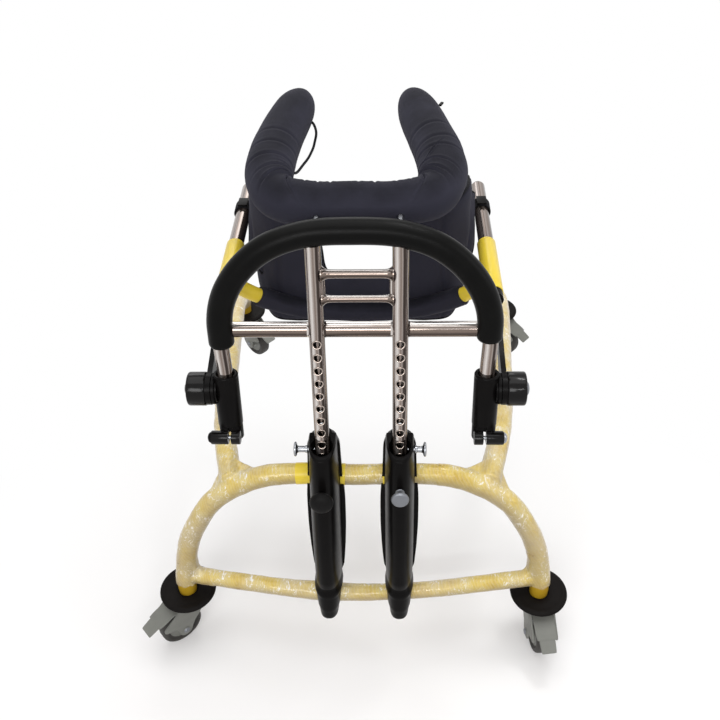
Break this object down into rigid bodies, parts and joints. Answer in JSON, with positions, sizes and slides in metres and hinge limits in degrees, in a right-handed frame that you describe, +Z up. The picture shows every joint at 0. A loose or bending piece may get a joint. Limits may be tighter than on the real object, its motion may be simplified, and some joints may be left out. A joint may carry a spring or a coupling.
{
  "type": "gait trainer",
  "caption": "Wheeled support walker: chrome mast and padded trunk ring over a painted tube base on braked casters, with a tilting pelvic harness frame.",
  "frame": {"origin": "centre of the base of the overall box, on the floor", "axes": "+Z up; +Y towards the open rear, where the walker enters; -Y is the direction of travel; +X is at the right of the picture"},
  "size_m": [0.7514, 0.9132, 0.7877],
  "materials": {
    "yellow_paint": "gloss powder coat, partly covered by clear packing film",
    "chrome": "bright chrome plate on steel tube",
    "black_foam": "black closed-cell foam and rubber, slight sheen",
    "black_plastic": "black moulded plastic, semi-gloss",
    "bumper_rubber": "black rubber, satin",
    "black_fabric": "black woven nylon over padding",
    "caster_grey": "grey moulded plastic, matte",
    "tyre": "dark grey rubber",
    "steel": "zinc-plated steel"
  },
  "bodies": {
    "base": {"front_arch": "yellow_paint", "lower_crossbar": "yellow_paint", "side_rail_left": "yellow_paint", "side_rail_right": "yellow_paint", "housing_cover_left": "black_plastic", "housing_cover_right": "black_plastic", "housing_back_left": "black_plastic", "housing_back_right": "black_plastic", "bumper_front_left": "bumper_rubber", "bumper_front_right": "bumper_rubber", "bumper_rear_right": "bumper_rubber", "bumper_rear_left": "bumper_rubber"},
    "mast": {"handlebar_tube": "chrome", "cross_tube": "chrome", "stem_left": "chrome", "stem_right": "chrome", "ladder_bar_upper": "chrome", "ladder_bar_lower": "chrome", "foam_grip": "black_foam", "cushion_frame": "steel", "trunk_cushion": "black_fabric", "cushion_cord": "black_fabric"},
    "clamps": {"clamp_sleeve_left": "black_plastic", "clamp_sleeve_right": "black_plastic", "clamp_bolt_left": "steel", "clamp_bolt_right": "steel"},
    "pelvic_frame": {"pelvic_arm_left": "black_plastic", "pelvic_arm_right": "black_plastic", "side_sleeve_left": "yellow_paint", "side_sleeve_right": "yellow_paint", "pelvic_tube": "yellow_paint", "harness_panel": "black_fabric", "thigh_sling_left": "black_fabric", "thigh_sling_right": "black_fabric", "rod_strap_left": "black_fabric", "rod_strap_right": "black_fabric"},
    "knob_left": {"pivot_knob_left": "black_plastic"},
    "rod_left": {"side_rod_left": "chrome"},
    "pin_left": {"side_pin_left": "steel"},
    "plunger_left": {"front_plunger_left": "black_foam"},
    "knob_right": {"pivot_knob_right": "black_plastic"},
    "rod_right": {"side_rod_right": "chrome"},
    "pin_right": {"side_pin_right": "steel"},
    "plunger_right": {"front_plunger_right": "steel"},
    "caster_front_left": {"caster_fork_front_left": "caster_grey", "axle_bolt_front_left": "steel"},
    "roller_front_left": {"wheel_front_left": "tyre"},
    "pedal_front_left": {"brake_pedal_front_left": "caster_grey"},
    "caster_front_right": {"caster_fork_front_right": "caster_grey", "axle_bolt_front_right": "steel"},
    "roller_front_right": {"wheel_front_right": "tyre"},
    "pedal_front_right": {"brake_pedal_front_right": "caster_grey"},
    "caster_rear_right": {"caster_fork_rear_right": "caster_grey", "axle_bolt_rear_right": "steel"},
    "roller_rear_right": {"wheel_rear_right": "tyre"},
    "pedal_rear_right": {"brake_pedal_rear_right": "caster_grey"},
    "caster_rear_left": {"caster_fork_rear_left": "caster_grey", "axle_bolt_rear_left": "steel"},
    "roller_rear_left": {"wheel_rear_left": "tyre"},
    "pedal_rear_left": {"brake_pedal_rear_left": "caster_grey"}
  },
  "joints": [
    {"name": "mast_height", "type": "slide", "parent": "base", "child": "mast", "axis": [0, 0.1961, 0.9806], "range_m": [-0.06, 0.064]},
    {"name": "clamp_height", "type": "slide", "parent": "mast", "child": "clamps", "axis": [0, 0.1961, 0.9806], "range_m": [-0.025, 0.012]},
    {"name": "pelvic_tilt", "type": "hinge", "parent": "clamps", "child": "pelvic_frame", "pos_m": [0, -0.31134, 0.5355], "axis": [1, 0, 0], "range_deg": [-15, 4]},
    {"name": "knob_left_turn", "type": "hinge", "parent": "clamps", "child": "knob_left", "pos_m": [-0.225, -0.31134, 0.5355], "axis": [-1, 0, 0], "range_deg": [-180, 180]},
    {"name": "rod_left_reach", "type": "slide", "parent": "pelvic_frame", "child": "rod_left", "axis": [0, 1, 0], "range_m": [-0.03, 0.04]},
    {"name": "pin_left_pull", "type": "slide", "parent": "base", "child": "pin_left", "axis": [-1, 0, 0], "range_m": [0, 0.008], "stiffness_N_per_m": 1500, "springref_m": -0.003},
    {"name": "plunger_left_pull", "type": "slide", "parent": "base", "child": "plunger_left", "axis": [0, -0.9806, 0.1961], "range_m": [0, 0.008], "stiffness_N_per_m": 1500, "springref_m": -0.003},
    {"name": "knob_right_turn", "type": "hinge", "parent": "clamps", "child": "knob_right", "pos_m": [0.225, -0.31134, 0.5355], "axis": [1, 0, 0], "range_deg": [-180, 180]},
    {"name": "rod_right_reach", "type": "slide", "parent": "pelvic_frame", "child": "rod_right", "axis": [0, 1, 0], "range_m": [-0.03, 0.04]},
    {"name": "pin_right_pull", "type": "slide", "parent": "base", "child": "pin_right", "axis": [1, 0, 0], "range_m": [0, 0.008], "stiffness_N_per_m": 1500, "springref_m": -0.003},
    {"name": "plunger_right_pull", "type": "slide", "parent": "base", "child": "plunger_right", "axis": [0, -0.9806, 0.1961], "range_m": [0, 0.008], "stiffness_N_per_m": 1500, "springref_m": -0.003},
    {"name": "caster_front_left_swivel", "type": "hinge", "parent": "base", "child": "caster_front_left", "pos_m": [-0.3, -0.36344, 0.10576], "axis": [0, 0, 1], "continuous": true},
    {"name": "wheel_front_left_spin", "type": "hinge", "parent": "caster_front_left", "child": "roller_front_left", "pos_m": [-0.32229, -0.38351, 0.03776], "axis": [-0.6691, 0.7431, 0], "continuous": true},
    {"name": "pedal_front_left_press", "type": "hinge", "parent": "caster_front_left", "child": "pedal_front_left", "pos_m": [-0.32898, -0.38953, 0.08526], "axis": [-0.6691, 0.7431, 0], "range_deg": [-8, 12]},
    {"name": "caster_front_right_swivel", "type": "hinge", "parent": "base", "child": "caster_front_right", "pos_m": [0.3, -0.36344, 0.10576], "axis": [0, 0, 1], "continuous": true},
    {"name": "wheel_front_right_spin", "type": "hinge", "parent": "caster_front_right", "child": "roller_front_right", "pos_m": [0.30366, -0.39321, 0.03776], "axis": [-0.9925, -0.1219, 0], "continuous": true},
    {"name": "pedal_front_right_press", "type": "hinge", "parent": "caster_front_right", "child": "pedal_front_right", "pos_m": [0.30475, -0.40215, 0.08526], "axis": [-0.9925, -0.1219, 0], "range_deg": [-8, 12]},
    {"name": "caster_rear_right_swivel", "type": "hinge", "parent": "base", "child": "caster_rear_right", "pos_m": [0.3, 0.40856, 0.10576], "axis": [0, 0, 1], "continuous": true},
    {"name": "wheel_rear_right_spin", "type": "hinge", "parent": "caster_rear_right", "child": "roller_rear_right", "pos_m": [0.32229, 0.38849, 0.03776], "axis": [-0.6691, -0.7431, 0], "continuous": true},
    {"name": "pedal_rear_right_press", "type": "hinge", "parent": "caster_rear_right", "child": "pedal_rear_right", "pos_m": [0.32898, 0.38247, 0.08526], "axis": [-0.6691, -0.7431, 0], "range_deg": [-8, 12]},
    {"name": "caster_rear_left_swivel", "type": "hinge", "parent": "base", "child": "caster_rear_left", "pos_m": [-0.3, 0.40856, 0.10576], "axis": [0, 0, 1], "continuous": true},
    {"name": "wheel_rear_left_spin", "type": "hinge", "parent": "caster_rear_left", "child": "roller_rear_left", "pos_m": [-0.27842, 0.38772, 0.03776], "axis": [-0.6947, -0.7193, 0], "continuous": true},
    {"name": "pedal_rear_left_press", "type": "hinge", "parent": "caster_rear_left", "child": "pedal_rear_left", "pos_m": [-0.27195, 0.38147, 0.08526], "axis": [-0.6947, -0.7193, 0], "range_deg": [-8, 12]}
  ]
}
